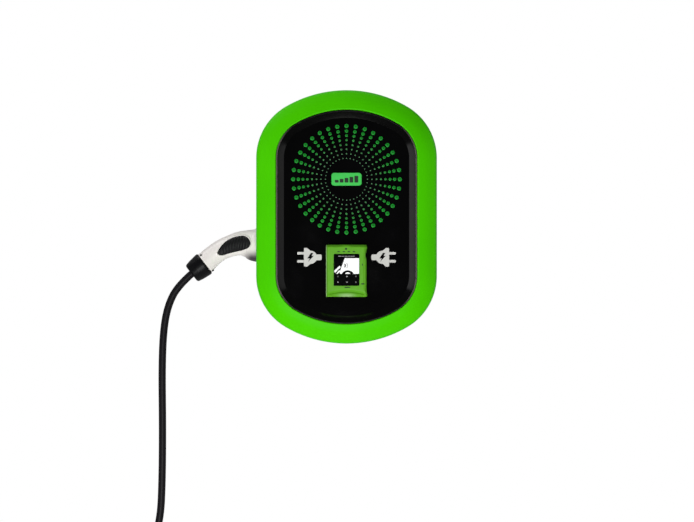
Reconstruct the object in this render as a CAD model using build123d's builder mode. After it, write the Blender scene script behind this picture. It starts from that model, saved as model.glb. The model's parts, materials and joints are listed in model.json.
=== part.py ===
"""Wall charging unit for electric vehicles with two side sockets and a lead plugged into one.

Frame: +Z up, the front faces -Y, the wall is the plane Y = 0 and the origin is the
middle of the wall plate's bolt pattern. All sizes are in millimetres.
"""
import math
import os

from build123d import *

os.makedirs("parts", exist_ok=True)

# Outline of the housing: long arcs top and bottom, smaller arcs at the corners, straight sides
half_width = 190.0
half_height = 266.5
crown_radius = 254.0
corner_radius = 125.0
corner_x = half_width - corner_radius
crown_z = half_height - crown_radius
arc_reach = crown_radius - corner_radius
corner_z = crown_z + math.sqrt(arc_reach**2 - corner_x**2)

# Depths, measured forward from the wall
plate_thickness = 3.0
housing_back = 12.0
housing_rim = 104.0
flange_thickness = 4.0
gasket_thickness = 2.5
fascia_front = 160.0
shell_front = 170.5

# Insets from the outline
housing_inset = 22.0
wall_thickness = 4.0
flange_inset = 5.0
opening_inset = 41.5
fascia_inset = 58.5

# Side sockets
socket_depth = 60.0
socket_height = -60.0
wall_x = half_width - housing_inset
seal_thickness = 1.5
flange_front = 10.0
flange_size = 80.0
well_radius = 28.0
insert_radius = 23.5
barrel_radius = 31.0
barrel_length = 45.0
pin_radius = 3.0
signal_pin_radius = 1.5
hinge_out = 12.0
hinge_up = 44.0

# Lead
lead_diameter = 16.0
coil_radius = 88.0
coil_center = (-345.0, -76.0, -780.0)

# Inside the housing
rail_height = 150.0
rail_depth = 28.0

power_spots = [(0, 0), (-14, 0), (14, 0), (-8, -13), (8, -13)]
signal_spots = [(-6.5, 12), (6.5, 12)]


def save(piece, name):
    piece.part.label = name
    export_step(piece.part, f"parts/{name}.step")


def outline(inset):
    """The closed outline of the housing, moved inwards by inset."""
    side = half_width - inset
    top = half_height - inset
    crown = crown_radius - inset
    corner = corner_radius - inset
    joint_x = crown * corner_x / arc_reach
    joint_z = crown_z + crown * (corner_z - crown_z) / arc_reach
    turn = math.atan2(corner_z - crown_z, corner_x) / 2
    mid_x = corner_x + corner * math.cos(turn)
    mid_z = corner_z + corner * math.sin(turn)
    Line((side, -corner_z), (side, corner_z))
    ThreePointArc((side, corner_z), (mid_x, mid_z), (joint_x, joint_z))
    ThreePointArc((joint_x, joint_z), (0, top), (-joint_x, joint_z))
    ThreePointArc((-joint_x, joint_z), (-mid_x, mid_z), (-side, corner_z))
    Line((-side, corner_z), (-side, -corner_z))
    ThreePointArc((-side, -corner_z), (-mid_x, -mid_z), (-joint_x, -joint_z))
    ThreePointArc((-joint_x, -joint_z), (0, -top), (joint_x, -joint_z))
    ThreePointArc((joint_x, -joint_z), (mid_x, -mid_z), (side, -corner_z))


def front_plane(depth):
    """A plane facing the viewer, depth in front of the wall."""
    return Plane(origin=(0, -depth, 0), x_dir=(1, 0, 0), z_dir=(0, -1, 0))


def side_plane(side, out=0.0):
    """A plane on the side wall of the housing, facing outwards, its y axis pointing up."""
    origin = (side * (wall_x + out), -socket_depth, socket_height)
    return Plane(origin=origin, x_dir=(0, side, 0), z_dir=(side, 0, 0))


def slab(inset, depth, thickness):
    """Adds a plate of the outline's shape from depth forward by thickness."""
    with BuildSketch(front_plane(depth)) as profile:
        with BuildLine():
            outline(inset)
        make_face()
    extrude(profile.sketch, amount=thickness)


def ring(outer, inner, depth, thickness):
    """Adds a ring of the outline's shape from depth forward by thickness."""
    with BuildSketch(front_plane(depth)) as profile:
        with BuildLine():
            outline(outer)
        make_face()
        with BuildLine():
            outline(inner)
        make_face(mode=Mode.SUBTRACT)
    extrude(profile.sketch, amount=thickness)


def crown_spots(inset, angles):
    """Places on the top and bottom arcs, at angles from the middle, as seen from the front."""
    reach = crown_radius - inset
    spots = []
    for angle in angles:
        x = reach * math.sin(math.radians(angle))
        z = crown_z + reach * math.cos(math.radians(angle))
        spots += [(x, z), (x, -z)]
    return spots


# ---------------------------------------------------------------- wall plate and housing

wall_hole_x = 100.0
wall_hole_z = 160.0
rail_gap_z = 130.0
rail_screw_x = 60.0
supply_x = 0.0
supply_seat = 246.0
cover_screw_inset = 9.0
cover_screw_side_z = 112.0
cover_spots = crown_spots(cover_screw_inset, [-13, 13])
cover_spots += [(s * (half_width - cover_screw_inset), z) for s in (-1, 1)
                for z in (-cover_screw_side_z, cover_screw_side_z)]
housing_screw_spots = [(s * rail_screw_x, z) for s in (-1, 1) for z in (-rail_gap_z, rail_gap_z)]

with BuildPart() as wall_plate:
    with BuildSketch(front_plane(0)):
        RectangleRounded(250, 380, 14)
        with GridLocations(2 * wall_hole_x, 2 * wall_hole_z, 2, 2):
            Circle(4.25, mode=Mode.SUBTRACT)
    extrude(amount=plate_thickness)
save(wall_plate, "wall_plate")

with BuildPart() as mounting_rails:
    with BuildSketch(front_plane(plate_thickness)):
        with GridLocations(0, 2 * rail_gap_z, 1, 2):
            Rectangle(160, 24)
        with Locations(*housing_screw_spots):
            Circle(2.6, mode=Mode.SUBTRACT)
    extrude(amount=housing_back - plate_thickness)
save(mounting_rails, "mounting_rails")

with BuildPart() as rear_housing:
    slab(housing_inset, housing_back, housing_rim - housing_back)
    fillet(rear_housing.faces().sort_by(Axis.Y)[-1].edges(), radius=8)
    ring(flange_inset, housing_inset + wall_thickness, housing_rim, flange_thickness)
    with BuildSketch(front_plane(housing_back + wall_thickness)):
        with BuildLine():
            outline(housing_inset + wall_thickness)
        make_face()
    extrude(amount=housing_rim, mode=Mode.SUBTRACT)
    # pad under the supply gland
    with BuildSketch(Plane.XY.offset(-supply_seat)):
        with Locations((supply_x, -socket_depth)):
            Circle(24)
    extrude(amount=10)
    with BuildSketch(Plane.XY.offset(-supply_seat)):
        with Locations((supply_x, -socket_depth)):
            Circle(16.2)
    extrude(amount=14, mode=Mode.SUBTRACT)
    for side in (-1, 1):
        with BuildSketch(side_plane(side, 2)):
            Circle(barrel_radius + 0.6)
        extrude(amount=-12, mode=Mode.SUBTRACT)
    # bosses for the rail, the boards and the power supply
    with BuildSketch(front_plane(housing_back + wall_thickness)):
        with Locations(*[(x, rail_height) for x in (-105, 105)]):
            Circle(7)
        with GridLocations(108, 84, 2, 2):
            Circle(5)
    extrude(amount=rail_depth - housing_back - wall_thickness)
    with BuildSketch(front_plane(housing_back)):
        with Locations(*housing_screw_spots):
            Circle(3.3)
    extrude(amount=wall_thickness, mode=Mode.SUBTRACT)
    with BuildSketch(front_plane(housing_rim)):
        with Locations(*cover_spots):
            Circle(2.3)
    extrude(amount=flange_thickness, mode=Mode.SUBTRACT)
save(rear_housing, "rear_housing")

with BuildPart() as housing_gasket:
    ring(13.6, 19, housing_rim + flange_thickness, gasket_thickness)
save(housing_gasket, "housing_gasket")

with BuildPart() as housing_screws:
    for x, z in housing_screw_spots:
        with BuildSketch(front_plane(housing_back + wall_thickness)):
            with Locations((x, z)):
                Circle(5.5)
        extrude(amount=4)
        with BuildSketch(front_plane(plate_thickness)):
            with Locations((x, z)):
                Circle(2.5)
        extrude(amount=housing_back + wall_thickness - plate_thickness)
save(housing_screws, "housing_screws")

# ---------------------------------------------------------------- front cover

rib_end = housing_rim + flange_thickness + gasket_thickness + 0.1
boss_length = 44.0

with BuildPart() as front_shell:
    with BuildLine(Plane.XZ) as path:
        outline(0)
    start = Plane(origin=(half_width, 0, -corner_z), x_dir=(-1, 0, 0), z_dir=(0, 0, 1))
    with BuildSketch(start):
        with BuildLine():
            FilletPolyline((0, 103), (0, 150), (21, 164), (opening_inset, shell_front),
                           (opening_inset, 155), radius=[12, 60, 3])
            Polyline((opening_inset, 155), (50, 155), (50, 151.5), (38, 151.5), (38, 165),
                     (22.5, 160.5), (17, 157.5), (17, rib_end), (12.9, rib_end),
                     (12.9, 154.2), (3.5, 148), (3.5, 103), (0, 103))
        make_face()
    sweep(path=path.wire())
    with BuildSketch(front_plane(housing_rim + flange_thickness)):
        with Locations(*cover_spots):
            Circle(4.3)
    extrude(amount=boss_length)
    with BuildSketch(front_plane(housing_rim + flange_thickness)):
        with Locations(*cover_spots):
            Circle(2)
    extrude(amount=16, mode=Mode.SUBTRACT)
save(front_shell, "front_shell")

with BuildPart() as cover_screws:
    for x, z in cover_spots:
        with BuildSketch(front_plane(housing_rim - 3)):
            with Locations((x, z)):
                Circle(3.9)
        extrude(amount=3)
        with BuildSketch(front_plane(housing_rim)):
            with Locations((x, z)):
                Circle(1.95)
        extrude(amount=16)
save(cover_screws, "cover_screws")

bezel_gap = 0.6
with BuildPart() as bezel_frame:
    with BuildLine(Plane.XZ) as bezel_path:
        outline(0)
    with BuildSketch(start):
        with BuildLine():
            lip = opening_inset + bezel_gap
            Polyline((lip, 155), (lip, 168.8), (lip + 2.2, 168.8), (fascia_inset, fascia_front),
                     (fascia_inset, fascia_front - 4), (fascia_inset - 8, fascia_front - 4),
                     (fascia_inset - 8, 155), (lip, 155))
        make_face()
    sweep(path=bezel_path.wire())
save(bezel_frame, "bezel_frame")

# ---------------------------------------------------------------- fascia

terminal_width = 86.0
terminal_height = 109.0
terminal_z = -113.4
terminal_front = 184.0
badge_z = 79.0
badge_width = 63.6
badge_height = 27.0
badge_front = fascia_front + 2.2
cable_slot = (30.0, 14.0)

with BuildPart() as fascia_panel:
    slab(fascia_inset, fascia_front - 4, 4)
    with BuildSketch(front_plane(fascia_front - 4)):
        with Locations((0, terminal_z)):
            RectangleRounded(*cable_slot, 4)
    extrude(amount=4, mode=Mode.SUBTRACT)
save(fascia_panel, "fascia_panel")

with BuildPart() as light_guide:
    with BuildSketch(front_plane(150.5)):
        with Locations((0, badge_z)):
            Circle(119)
    extrude(amount=fascia_front - 4 - 150.5)
save(light_guide, "light_guide")

with BuildPart() as light_board:
    with BuildSketch(front_plane(148.4)):
        with Locations((0, badge_z)):
            Circle(116)
            Circle(12, mode=Mode.SUBTRACT)
    extrude(amount=1.6)
    with BuildSketch(front_plane(150)):
        with Locations((0, badge_z)):
            with PolarLocations(100, 36):
                Circle(1.2)
    extrude(amount=0.5)
save(light_board, "light_board")

with BuildPart() as status_badge:
    with BuildSketch(front_plane(fascia_front)):
        with Locations((0, badge_z)):
            RectangleRounded(badge_width, badge_height, 6)
    extrude(amount=badge_front - fascia_front)
    chamfer(status_badge.faces().sort_by(Axis.Y)[0].edges(), length=0.6)
save(status_badge, "status_badge")

# ---------------------------------------------------------------- payment terminal

screen_width = 53.5
screen_height = 66.4
screen_z = terminal_z + 2.0
top_edge = terminal_height / 2

with BuildPart() as terminal_housing:
    with BuildSketch(front_plane(fascia_front)):
        with Locations((0, terminal_z)):
            RectangleRounded(terminal_width, terminal_height, 7)
    extrude(amount=terminal_front - fascia_front)
    chamfer(terminal_housing.faces().sort_by(Axis.Y)[0].edges(), length=3.5)
    # hollow for the reader electronics, open at the back
    with BuildSketch(front_plane(fascia_front)):
        with Locations((0, terminal_z + 8)):
            RectangleRounded(terminal_width - 10, terminal_height - 28, 4)
    extrude(amount=14, mode=Mode.SUBTRACT)
    # screen recess
    with BuildSketch(front_plane(terminal_front - 3)):
        with Locations((0, screen_z)):
            RectangleRounded(screen_width + 0.6, screen_height + 0.6, 2)
    extrude(amount=3, mode=Mode.SUBTRACT)
    # card slot in the lower edge
    with BuildSketch(Plane.XY.offset(terminal_z - top_edge)):
        with Locations((0, -(fascia_front + 15))):
            Rectangle(57, 5)
    extrude(amount=13, mode=Mode.SUBTRACT)
save(terminal_housing, "terminal_housing")

with BuildPart() as terminal_glass:
    with BuildSketch(front_plane(terminal_front - 3)):
        with Locations((0, screen_z)):
            RectangleRounded(screen_width, screen_height, 1.8)
    extrude(amount=2.4)
save(terminal_glass, "terminal_glass")

with BuildPart() as reader_board:
    with BuildSketch(front_plane(fascia_front + 7)):
        with Locations((0, terminal_z + 8)):
            Rectangle(72, 76)
    extrude(amount=1.6)
    with BuildSketch(front_plane(fascia_front + 8.6)):
        with Locations((-18, terminal_z + 20), (16, terminal_z + 4)):
            Rectangle(18, 18)
    extrude(amount=2.5)
save(reader_board, "reader_board")

# ---------------------------------------------------------------- side sockets, locks and lids


def contact_bores(out, length, radius_extra=0.0, mode=Mode.ADD, side=1):
    """Rods at the seven contact places, starting out from the wall, running outwards."""
    with BuildSketch(side_plane(side, out)) as profile:
        with Locations(*power_spots):
            Circle(pin_radius + radius_extra)
        with Locations(*signal_spots):
            Circle(signal_pin_radius + radius_extra)
    extrude(profile.sketch, amount=length, mode=mode)


knuckle_radius = 4.0
knuckle_length = 8.0
lid_knuckle = 20.0
lid_inner = 11.5
lid_outer = 19.0
lid_size = 74.0


def hinge_rod(side, center, radius, length, mode=Mode.ADD):
    """A round rod along the hinge axis, with its middle center away from the socket's middle."""
    plane = Plane(
        origin=(side * (wall_x + hinge_out), -socket_depth + center, socket_height + hinge_up),
        x_dir=(1, 0, 0), z_dir=(0, 1, 0))
    with BuildSketch(plane) as profile:
        Circle(radius)
    extrude(profile.sketch, amount=length / 2, both=True, mode=mode)


def make_socket(side):
    with BuildPart() as socket:
        with BuildSketch(side_plane(side, seal_thickness)):
            RectangleRounded(flange_size, flange_size, 10)
        extrude(amount=flange_front - seal_thickness)
        with BuildSketch(side_plane(side, seal_thickness)):
            Circle(barrel_radius)
        extrude(amount=-(barrel_length + seal_thickness))
        with BuildSketch(side_plane(side, flange_front)):
            Circle(well_radius)
            Circle(insert_radius, mode=Mode.SUBTRACT)
        extrude(amount=-(flange_front + 28), mode=Mode.SUBTRACT)
        with BuildSketch(side_plane(side, flange_front)):
            Circle(insert_radius + 1)
        extrude(amount=-6, mode=Mode.SUBTRACT)
        contact_bores(flange_front, -(flange_front + barrel_length), 1.0, Mode.SUBTRACT, side)
        # hole for the lock bolt, from below
        with BuildSketch(Plane.XY.offset(socket_height - barrel_radius - 1)):
            with Locations((side * (wall_x - 14), -socket_depth)):
                Circle(3.3)
        extrude(amount=6, mode=Mode.SUBTRACT)
        with BuildSketch(side_plane(side, seal_thickness)):
            with GridLocations(66, 66, 2, 2):
                Circle(2.2)
        extrude(amount=flange_front, mode=Mode.SUBTRACT)
        # hinge knuckles
        offset = (lid_knuckle + knuckle_length) / 2 + 0.3
        for end in (-1, 1):
            hinge_rod(side, end * offset, knuckle_radius, knuckle_length)
            with BuildSketch(side_plane(side, 4)):
                with Locations((side * end * offset, 41.5)):
                    Rectangle(knuckle_length, 5)
            extrude(amount=hinge_out - 4)
        hinge_rod(side, 0, 1.5, 60, Mode.SUBTRACT)
    return socket


def make_contacts(side):
    with BuildPart() as contacts:
        contact_bores(-barrel_length, barrel_length + 2, 1.0, side=side)
        contact_bores(-30, 40, 0.3, Mode.SUBTRACT, side)
    return contacts


def make_lid(side):
    """A lid that hangs closed over the socket from the hinge above it."""
    with BuildPart() as lid:
        with BuildSketch(side_plane(side, lid_inner)):
            RectangleRounded(lid_size, lid_size, 12)
        extrude(amount=lid_outer - lid_inner)
        fillet(lid.faces().sort_by(Axis.X)[-1 if side > 0 else 0].edges(), radius=3)
        with BuildSketch(side_plane(side, lid_inner)):
            RectangleRounded(lid_size - 8, lid_size - 8, 9)
        extrude(amount=4, mode=Mode.SUBTRACT)
        with BuildSketch(side_plane(side, lid_inner)):
            Circle(well_radius + 3.6)
            Circle(well_radius + 0.6, mode=Mode.SUBTRACT)
        extrude(amount=4.5)
        with BuildSketch(side_plane(side, lid_inner)):
            with Locations((0, 40)):
                Rectangle(lid_knuckle, 8)
            with Locations((0, -39)):
                RectangleRounded(24, 8, 3)
        extrude(amount=4.5)
        hinge_rod(side, 0, knuckle_radius, lid_knuckle)
        hinge_rod(side, 0, 1.7, 60, Mode.SUBTRACT)
    return lid


def make_lid_seal(side):
    with BuildPart() as seal:
        with BuildSketch(side_plane(side, flange_front)):
            Circle(well_radius + 3.6)
            Circle(well_radius + 0.6, mode=Mode.SUBTRACT)
        extrude(amount=lid_inner - flange_front)
    return seal


def opened(piece, angle):
    """The same piece of the left lid, turned about the hinge axis by angle degrees."""
    axis = Axis((-(wall_x + hinge_out), 0, socket_height + hinge_up), (0, 1, 0))
    return piece.part.rotate(axis, angle)


actuator_size = (28.0, 30.0, 19.0)
actuator_low = -66.0


def make_actuator(side):
    """The box below the socket that drives the lock bolt."""
    with BuildPart() as actuator:
        with BuildSketch(side_plane(side, -5)):
            with Locations((0, actuator_low + actuator_size[1] / 2)):
                RectangleRounded(actuator_size[0], actuator_size[1], 3)
        extrude(amount=-actuator_size[2])
        with BuildSketch(Plane.XY.offset(socket_height + actuator_low + 10)):
            with Locations((side * (wall_x - 14), -socket_depth)):
                Circle(3.3)
        extrude(amount=actuator_size[1], mode=Mode.SUBTRACT)
    return actuator


def make_bolt(side):
    with BuildPart() as bolt:
        with BuildSketch(Plane.XY.offset(socket_height + actuator_low + 12)):
            with Locations((side * (wall_x - 14), -socket_depth)):
                Circle(3)
        extrude(amount=-actuator_low - 12 - 28.5)
        chamfer(bolt.faces().sort_by(Axis.Z)[-1].edges(), length=0.6)
    return bolt


sides = {"left": -1, "right": 1}
for label, side in sides.items():
    save(make_socket(side), f"socket_{label}")
    save(make_contacts(side), f"socket_contacts_{label}")
    save(make_actuator(side), f"lock_actuator_{label}")
    save(make_bolt(side), f"lock_bolt_{label}")

save(make_lid(1), "socket_lid_right")
save(make_lid_seal(1), "lid_seal_right")
left_lid = make_lid(-1)
left_lid_seal = make_lid_seal(-1)
with BuildPart() as socket_lid_left:
    add(opened(left_lid, 180))
save(socket_lid_left, "socket_lid_left")
with BuildPart() as lid_seal_left:
    add(opened(left_lid_seal, 180))
save(lid_seal_left, "lid_seal_left")

with BuildPart() as lid_hinge_pins:
    for side in sides.values():
        hinge_rod(side, 0, 1.5, 38)
save(lid_hinge_pins, "lid_hinge_pins")

with BuildPart() as socket_seals:
    for side in sides.values():
        with BuildSketch(side_plane(side)):
            RectangleRounded(flange_size - 2, flange_size - 2, 9)
            Circle(barrel_radius + 0.6, mode=Mode.SUBTRACT)
            with GridLocations(66, 66, 2, 2):
                Circle(2.2, mode=Mode.SUBTRACT)
        extrude(amount=seal_thickness)
save(socket_seals, "socket_seals")

with BuildPart() as socket_screws:
    for side in sides.values():
        with BuildSketch(side_plane(side)):
            with GridLocations(66, 66, 2, 2):
                Circle(2)
        extrude(amount=8)
        with BuildSketch(side_plane(side, 7.5)):
            with GridLocations(66, 66, 2, 2):
                Circle(2.15)
        extrude(amount=2.2)
save(socket_screws, "socket_screws")

# ---------------------------------------------------------------- inside the housing

rail_length = 236.0
module_height = 85.0
module_body = 58.0
module_back = rail_depth + 3

with BuildPart() as din_rail:
    with BuildSketch(front_plane(rail_depth)):
        with Locations((0, rail_height)):
            Rectangle(rail_length, 35)
    extrude(amount=1.5)
    with BuildSketch(front_plane(rail_depth + 1.5)):
        with Locations((0, rail_height - 14), (0, rail_height + 14)):
            Rectangle(rail_length, 7)
    extrude(amount=1.5)
save(din_rail, "din_rail")


def module(x, width):
    """A rail module: a wide foot on the rail and a narrower nose in front."""
    with BuildSketch(front_plane(module_back)) as foot:
        with Locations((x, rail_height)):
            Rectangle(width, module_height)
    extrude(foot.sketch, amount=40)
    with BuildSketch(front_plane(module_back + 40)) as nose:
        with Locations((x, rail_height)):
            Rectangle(width, 45)
    extrude(nose.sketch, amount=module_body - 40)


breaker_x = {"left": -82.0, "right": -44.0}
contactor_x = {"left": -6.0, "right": 32.0}
meter_x = 70.0
toggle_radius = 7.0
toggle_depth = module_back + module_body - 3
toggle_z = rail_height + 6
toggle_rest = math.radians(20)
toggle_out = 9 * math.cos(toggle_rest)
toggle_up = 9 * math.sin(toggle_rest)
button_z = rail_height - 14
carrier_z = rail_height + 12

for label in sides:
    x = breaker_x[label]
    with BuildPart() as breaker:
        module(x, 36)
        with BuildSketch(Plane.YZ.offset(x)):
            with Locations((-toggle_depth, toggle_z)):
                Circle(toggle_radius + 0.5)
        extrude(amount=10.5, both=True, mode=Mode.SUBTRACT)
        with BuildSketch(front_plane(module_back + module_body)):
            with Locations((x, button_z)):
                RectangleRounded(9, 7, 1)
        extrude(amount=-9, mode=Mode.SUBTRACT)
    save(breaker, f"breaker_{label}")
    with BuildPart() as toggle:
        with BuildSketch(Plane.YZ.offset(x)):
            with Locations((-toggle_depth, toggle_z)):
                Circle(toggle_radius)
            with Locations((-toggle_depth - toggle_out, toggle_z + toggle_up)):
                Rectangle(14, 4, rotation=-math.degrees(toggle_rest))
        extrude(amount=10, both=True)
    save(toggle, f"breaker_toggle_{label}")
    with BuildPart() as button:
        with BuildSketch(front_plane(module_back + module_body - 5)):
            with Locations((x, button_z)):
                RectangleRounded(8.2, 6.2, 1)
        extrude(amount=7)
    save(button, f"test_button_{label}")
    x = contactor_x[label]
    with BuildPart() as contactor:
        module(x, 36)
        with BuildSketch(front_plane(module_back + module_body)):
            with Locations((x, carrier_z)):
                Rectangle(12, 8)
        extrude(amount=-14, mode=Mode.SUBTRACT)
    save(contactor, f"contactor_{label}")
    with BuildPart() as carrier:
        with BuildSketch(front_plane(module_back + module_body - 9)):
            with Locations((x, carrier_z)):
                Rectangle(11.2, 7.2)
        extrude(amount=10)
    save(carrier, f"contactor_carrier_{label}")

with BuildPart() as energy_meter:
    module(meter_x, 36)
    with BuildSketch(front_plane(module_back + module_body)):
        with Locations((meter_x, rail_height + 8)):
            Rectangle(28, 14)
    extrude(amount=-1.5, mode=Mode.SUBTRACT)
save(energy_meter, "energy_meter")

with BuildPart() as terminal_block:
    for n in range(5):
        with BuildSketch(front_plane(housing_back + wall_thickness)):
            with Locations((-44 + 22 * n, -190)):
                Rectangle(20, 36)
        extrude(amount=30)
        with BuildSketch(front_plane(housing_back + wall_thickness + 30)):
            with Locations((-44 + 22 * n, -180), (-44 + 22 * n, -200)):
                Circle(3)
        extrude(amount=-8, mode=Mode.SUBTRACT)
save(terminal_block, "terminal_block")

board_depth = rail_depth + 6
with BuildPart() as board_standoffs:
    with BuildSketch(front_plane(rail_depth)):
        with GridLocations(108, 84, 2, 2):
            RegularPolygon(3.5, 6)
    extrude(amount=6)
save(board_standoffs, "board_standoffs")

with BuildPart() as controller_board:
    with BuildSketch(front_plane(board_depth)):
        RectangleRounded(124, 100, 3)
    extrude(amount=1.6)
    with BuildSketch(front_plane(board_depth + 1.6)):
        with Locations((-20, 10)):
            Rectangle(28, 28)
        with Locations((20, 22), (20, -4)):
            Rectangle(16, 12)
    extrude(amount=3)
    with BuildSketch(front_plane(board_depth + 1.6)):
        with Locations((-40, -34), (-10, -34), (20, -34)):
            Rectangle(24, 14)
    extrude(amount=12)
save(controller_board, "controller_board")

with BuildPart() as power_supply:
    with BuildSketch(front_plane(housing_back + wall_thickness)):
        with Locations((0, -105)):
            RectangleRounded(104, 60, 3)
    extrude(amount=38)
save(power_supply, "power_supply")

with BuildPart() as supply_gland:
    with BuildSketch(Plane.XY.offset(-supply_seat)):
        with Locations((supply_x, -socket_depth)):
            Circle(16)
    extrude(amount=16)
    with BuildSketch(Plane.XY.offset(-supply_seat)):
        with Locations((supply_x, -socket_depth)):
            RegularPolygon(21, 6)
    extrude(amount=-7)
    with BuildSketch(Plane.XY.offset(-supply_seat - 7)):
        with Locations((supply_x, -socket_depth)):
            Circle(17)
    extrude(amount=-9, taper=14)
    with BuildSketch(Plane.XY.offset(-supply_seat + 16)):
        with Locations((supply_x, -socket_depth)):
            Circle(9)
    extrude(amount=-50, mode=Mode.SUBTRACT)
save(supply_gland, "supply_gland")

with BuildPart() as earth_stud:
    with BuildSketch(front_plane(housing_back + wall_thickness)):
        with Locations((95, -190)):
            Circle(3)
    extrude(amount=24)
    for depth in (0, 8):
        with BuildSketch(front_plane(housing_back + wall_thickness + depth)):
            with Locations((95, -190)):
                RegularPolygon(6, 6)
        extrude(amount=5)
save(earth_stud, "earth_stud")

# ---------------------------------------------------------------- plug in the left socket

handle_start = 13.0
# stations of the handle: middle x and z, radius, and how far its axis has turned down
handle_stations = [
    (-wall_x - handle_start, -60.0, 35.0, 0),
    (-197.0, -59.0, 32.5, 0),
    (-211.0, -56.3, 27.8, 4),
    (-226.0, -56.2, 25.0, 10),
    (-243.0, -60.4, 22.8, 20),
    (-262.0, -67.9, 21.2, 30),
    (-281.0, -80.4, 20.9, 37),
    (-300.5, -98.5, 22.4, 40),
]
cap_end = (-326.5, -120.3)
cap_angle = 40.0


def station_plane(x, z, angle):
    """A plane across the handle whose normal points along it, away from the socket."""
    turn = math.radians(angle)
    return Plane(origin=(x, -socket_depth, z), x_dir=(0, 1, 0),
                 z_dir=(-math.cos(turn), 0, -math.sin(turn)))


with BuildPart() as plug_shroud:
    with BuildSketch(side_plane(-1, -26)):
        Circle(well_radius - 0.4)
        Circle(insert_radius + 0.4, mode=Mode.SUBTRACT)
    extrude(amount=37)
    with BuildSketch(side_plane(-1, 10.6)):
        Circle(30)
    extrude(amount=handle_start - 10.6)
    contact_bores(10, 4, 0, Mode.SUBTRACT, -1)
    with BuildSketch(Plane.XY.offset(socket_height - 30)):
        with Locations((-(wall_x - 14), -socket_depth)):
            Circle(3.5)
    extrude(amount=8, mode=Mode.SUBTRACT)
save(plug_shroud, "plug_shroud")

with BuildPart() as plug_pins:
    contact_bores(-24, handle_start + 24, side=-1)
save(plug_pins, "plug_pins")

with BuildPart() as plug_handle:
    for x, z, radius, angle in handle_stations:
        with BuildSketch(station_plane(x, z, angle)):
            Circle(radius)
    loft()
save(plug_handle, "plug_handle")

grip_thickness = 1.6
grip_outline = [
    (-271.5, -76.5), (-261.0, -62.5), (-250.3, -53.3), (-239.0, -46.8), (-228.0, -42.4),
    (-218.0, -40.8), (-207.5, -45.5), (-202.6, -55.5), (-207.0, -64.2), (-218.0, -69.0),
    (-233.0, -72.2), (-249.0, -76.3), (-263.0, -80.4),
]
with BuildPart() as plug_grips:
    for x, z, radius, angle in handle_stations:
        with BuildSketch(station_plane(x, z, angle)):
            Circle(radius + grip_thickness)
    loft()
    with BuildSketch(front_plane(0)):
        with BuildLine():
            Spline(*grip_outline, periodic=True)
        make_face()
    extrude(amount=2 * socket_depth, mode=Mode.INTERSECT)
    add(plug_handle.part, mode=Mode.SUBTRACT)
save(plug_grips, "plug_grips")

with BuildPart() as plug_cap:
    with BuildSketch(station_plane(handle_stations[-1][0], handle_stations[-1][1], cap_angle)):
        Circle(24.6)
    with BuildSketch(station_plane(*cap_end, cap_angle)):
        Circle(19.4)
    loft()
save(plug_cap, "plug_cap")

# ---------------------------------------------------------------- lead

lead_points = [
    (cap_end[0], -60, cap_end[1]),
    (-353.5, -60, -146.5),
    (-375.0, -60, -183.0),
    (-387.0, -60, -234.0),
    (-390.5, -60.5, -318.0),
    (-389.0, -60, -446.0),
    (-390.0, -59.5, -560.0),
    (-393.5, -60, -636.0),
    (-409.0, -60, -690.0),
    (-438.0, -60, -735.0),
]
tail_points = [
    (-386.0, -90, -726.0),
    (-407.0, -107, -752.0),
    (-419.0, -126, -790.0),
    (-423.0, -133, -836.0),
]


def corner_radii(points):
    """The largest arc that each corner's two runs leave room for."""
    radii = []
    for before, here, after in zip(points, points[1:], points[2:]):
        run_in = Vector(here) - Vector(before)
        run_out = Vector(after) - Vector(here)
        half_turn = math.radians(run_in.get_angle(run_out)) / 2
        radii.append(0.45 * min(run_in.length, run_out.length) / math.tan(half_turn))
    return radii


def make_tube(points, name):
    radii = corner_radii(points)
    with BuildPart() as tube:
        with BuildLine() as route:
            FilletPolyline(*points, radius=radii)
        first = Vector(points[1]) - Vector(points[0])
        with BuildSketch(Plane(origin=points[0], z_dir=first)):
            Circle(lead_diameter / 2)
        sweep(path=route.wire())
    length = route.wire().length
    section = math.pi * (lead_diameter / 2) ** 2
    print(name, "length", round(length, 1), "radii", [round(r) for r in radii],
          "volume ratio", round(tube.part.volume / section / length, 4))
    return tube


save(make_tube(lead_points, "lead_hanging"), "lead_hanging")
save(make_tube(tail_points, "lead_tail"), "lead_tail")

coil_plane = Plane(origin=coil_center, x_dir=(1, 0, 0), z_dir=(0, -1, 0))
coil_half = 1.5 * lead_diameter

with BuildPart() as lead_coil:
    with BuildSketch(coil_plane):
        Circle(coil_radius + coil_half)
        Circle(coil_radius - coil_half, mode=Mode.SUBTRACT)
    extrude(amount=coil_half, both=True)
    fillet(lead_coil.edges().filter_by(GeomType.CIRCLE), radius=7)
save(lead_coil, "lead_coil")

tie_width = 22.0
with BuildPart() as coil_ties:
    for angle in (100, 275):
        turn = math.radians(angle)
        out = (math.cos(turn), 0, math.sin(turn))
        middle = [c + coil_radius * o for c, o in zip(coil_center, out)]
        around = Plane(origin=middle, x_dir=out, z_dir=(-out[2], 0, out[0]))
        with BuildSketch(around):
            RectangleRounded(2 * coil_half + 7, 2 * coil_half + 7, 8)
            RectangleRounded(2 * coil_half + 2, 2 * coil_half + 2, 5.5, mode=Mode.SUBTRACT)
        extrude(amount=tie_width / 2, both=True)
save(coil_ties, "coil_ties")

# ---------------------------------------------------------------- connector at the lead's end

connector_x, connector_y, connector_top = tail_points[-1]
boot_length = 34.0
grip_length = 96.0
nose_length = 42.0


def down_plane(below):
    return Plane(origin=(connector_x, connector_y, connector_top - below),
                 x_dir=(1, 0, 0), z_dir=(0, 0, -1))


with BuildPart() as connector_boot:
    with BuildSketch(down_plane(0)):
        Circle(12)
    with BuildSketch(down_plane(boot_length)):
        Circle(20)
    loft()
save(connector_boot, "connector_boot")

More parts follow.
